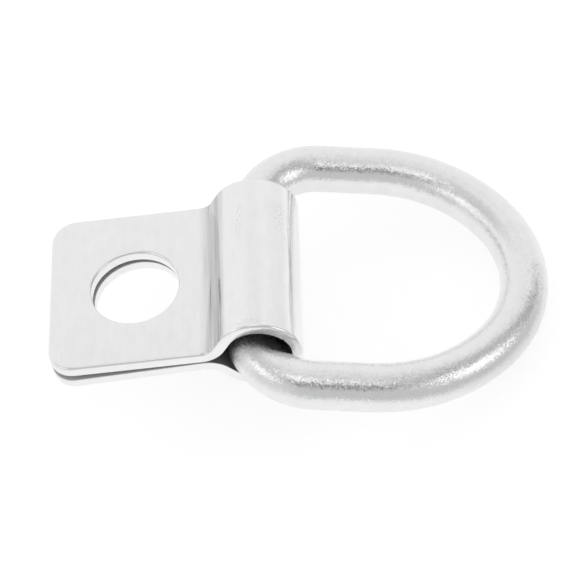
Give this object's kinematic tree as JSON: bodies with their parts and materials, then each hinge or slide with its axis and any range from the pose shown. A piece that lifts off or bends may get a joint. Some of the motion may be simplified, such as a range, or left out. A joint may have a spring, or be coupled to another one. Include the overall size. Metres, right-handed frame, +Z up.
{
  "type": "bolt-on d-ring tie down",
  "caption": "Folded sheet-metal clip with a bolt hole through its leaves and a round barrel that traps a loose, swinging wire D-ring for lashing down loads.",
  "frame": {"origin": "centre of the bolt hole on the underside of the lower leaf, the face that is bolted down", "axes": "+Z up along the bolt hole, +X from the hole towards the ring, +Y along the barrel that the ring swings in"},
  "size_m": [0.0655, 0.0439, 0.0173],
  "materials": {
    "clip_plated_steel": "bright zinc plating on rolled sheet, satin, with fine scuffs and pale sheared edges",
    "ring_plated_steel": "bright zinc plating on drawn wire, semi-gloss, with a fine grain"
  },
  "bodies": {
    "clip": {"clip": "clip_plated_steel"},
    "ring": {"d_ring": "ring_plated_steel"}
  },
  "joints": [
    {"name": "ring_swing", "type": "hinge", "parent": "clip", "child": "ring", "pos_m": [0.0159, 0, 0.00165], "axis": [0, -1, 0], "range_deg": [-158, 182]}
  ]
}
